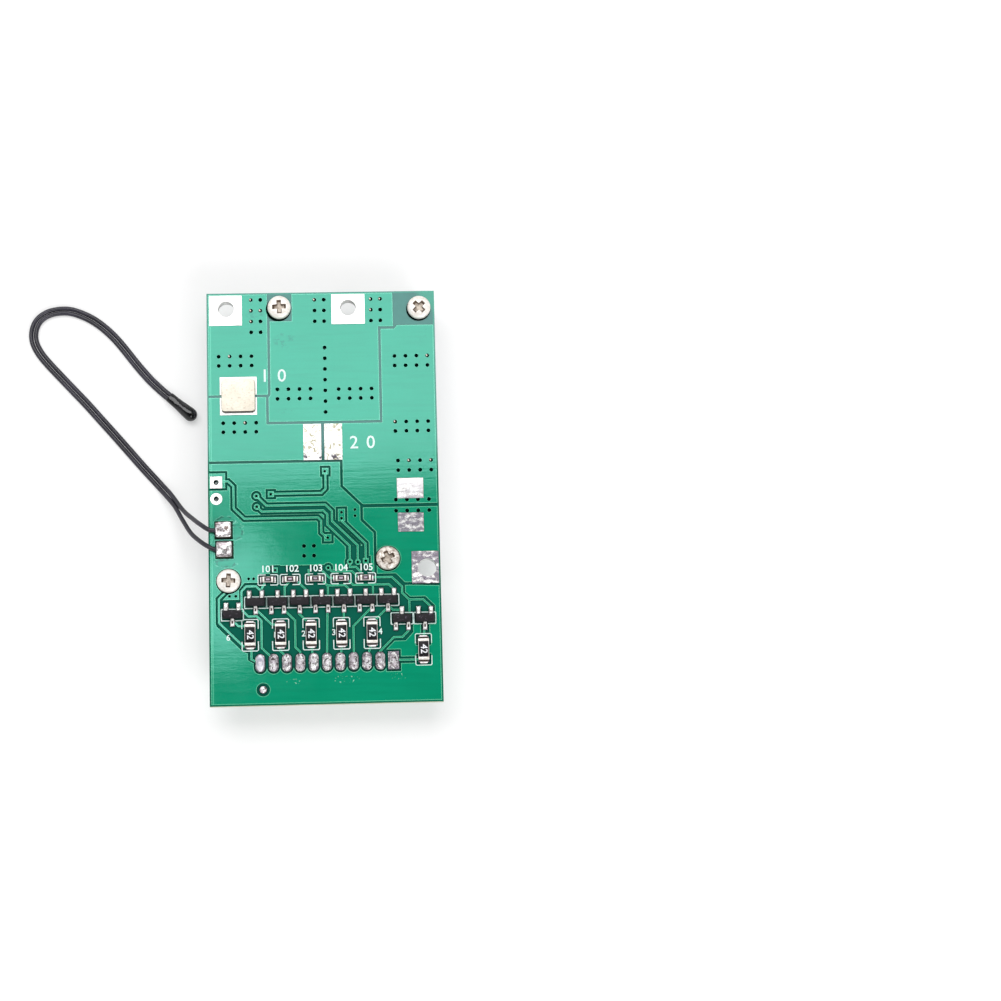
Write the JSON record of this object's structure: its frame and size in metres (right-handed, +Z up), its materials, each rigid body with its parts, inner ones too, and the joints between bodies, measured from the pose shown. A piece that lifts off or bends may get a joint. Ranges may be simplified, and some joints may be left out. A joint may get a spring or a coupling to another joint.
{
  "type": "battery management board",
  "caption": "Green circuit board with balance header, power transistors on a grooved heatsink, wire pads and a soldered thermistor lead that ends in a bead.",
  "frame": {"origin": "under the middle of the board, on the surface that the heatsink rests on", "axes": "+X along the balance header, +Y along the board away from the header, +Z up through the board"},
  "size_m": [0.063, 0.0637, 0.0093],
  "materials": {
    "board": "bare glass-fibre board, satin",
    "masked_copper": "copper under a green mask, glossy",
    "tin": "dull tin and solder",
    "black_moulding": "black moulding compound",
    "black_glaze": "dark glaze between tinned caps",
    "screw_steel": "nickel-plated steel",
    "nylon": "natural nylon",
    "extruded_aluminium": "plain extruded aluminium",
    "silicone_pad": "soft silicone pad",
    "ivory_plastic": "ivory nylon moulding",
    "tinned_pin": "tin-plated brass",
    "ceramic": "brown ceramic",
    "wire_insulation": "black insulation, glossy",
    "bead_resin": "dipped black resin, glossy"
  },
  "bodies": {
    "root": {"circuit_board": "board", "top_copper": "masked_copper", "bottom_copper": "masked_copper", "tinned_pads": "tin", "link_solder": "tin", "transistor_1": "black_moulding", "transistor_2": "black_moulding", "transistor_3": "black_moulding", "transistor_4": "black_moulding", "transistor_5": "black_moulding", "transistor_6": "black_moulding", "transistor_7": "black_moulding", "transistor_8": "black_moulding", "transistor_9": "black_moulding", "transistor_10": "black_moulding", "balance_resistor_1": "black_glaze", "balance_resistor_2": "black_glaze", "balance_resistor_3": "black_glaze", "balance_resistor_4": "black_glaze", "balance_resistor_5": "black_glaze", "balance_resistor_6": "black_glaze", "gate_resistor_1": "black_glaze", "gate_resistor_2": "black_glaze", "gate_resistor_3": "black_glaze", "gate_resistor_4": "black_glaze", "gate_resistor_5": "black_glaze", "heatsink_screws": "screw_steel", "screw_spacers": "nylon", "heatsink": "extruded_aluminium", "thermal_pad": "silicone_pad", "header_housing": "ivory_plastic", "header_pins": "tinned_pin", "header_solder": "tin", "mosfet_1": "black_moulding", "mosfet_2": "black_moulding", "mosfet_3": "black_moulding", "mosfet_4": "black_moulding", "mosfet_5": "black_moulding", "mosfet_6": "black_moulding", "mosfet_7": "black_moulding", "mosfet_8": "black_moulding", "protection_ic_1": "black_moulding", "protection_ic_2": "black_moulding", "shunt_resistor_1": "black_glaze", "shunt_resistor_2": "black_glaze", "filter_resistors": "black_glaze", "filter_capacitors": "ceramic", "thermistor_solder": "tin", "thermistor_wire_1": "wire_insulation", "thermistor_wire_2": "wire_insulation", "thermistor_bead": "bead_resin"}
  },
  "joints": []
}
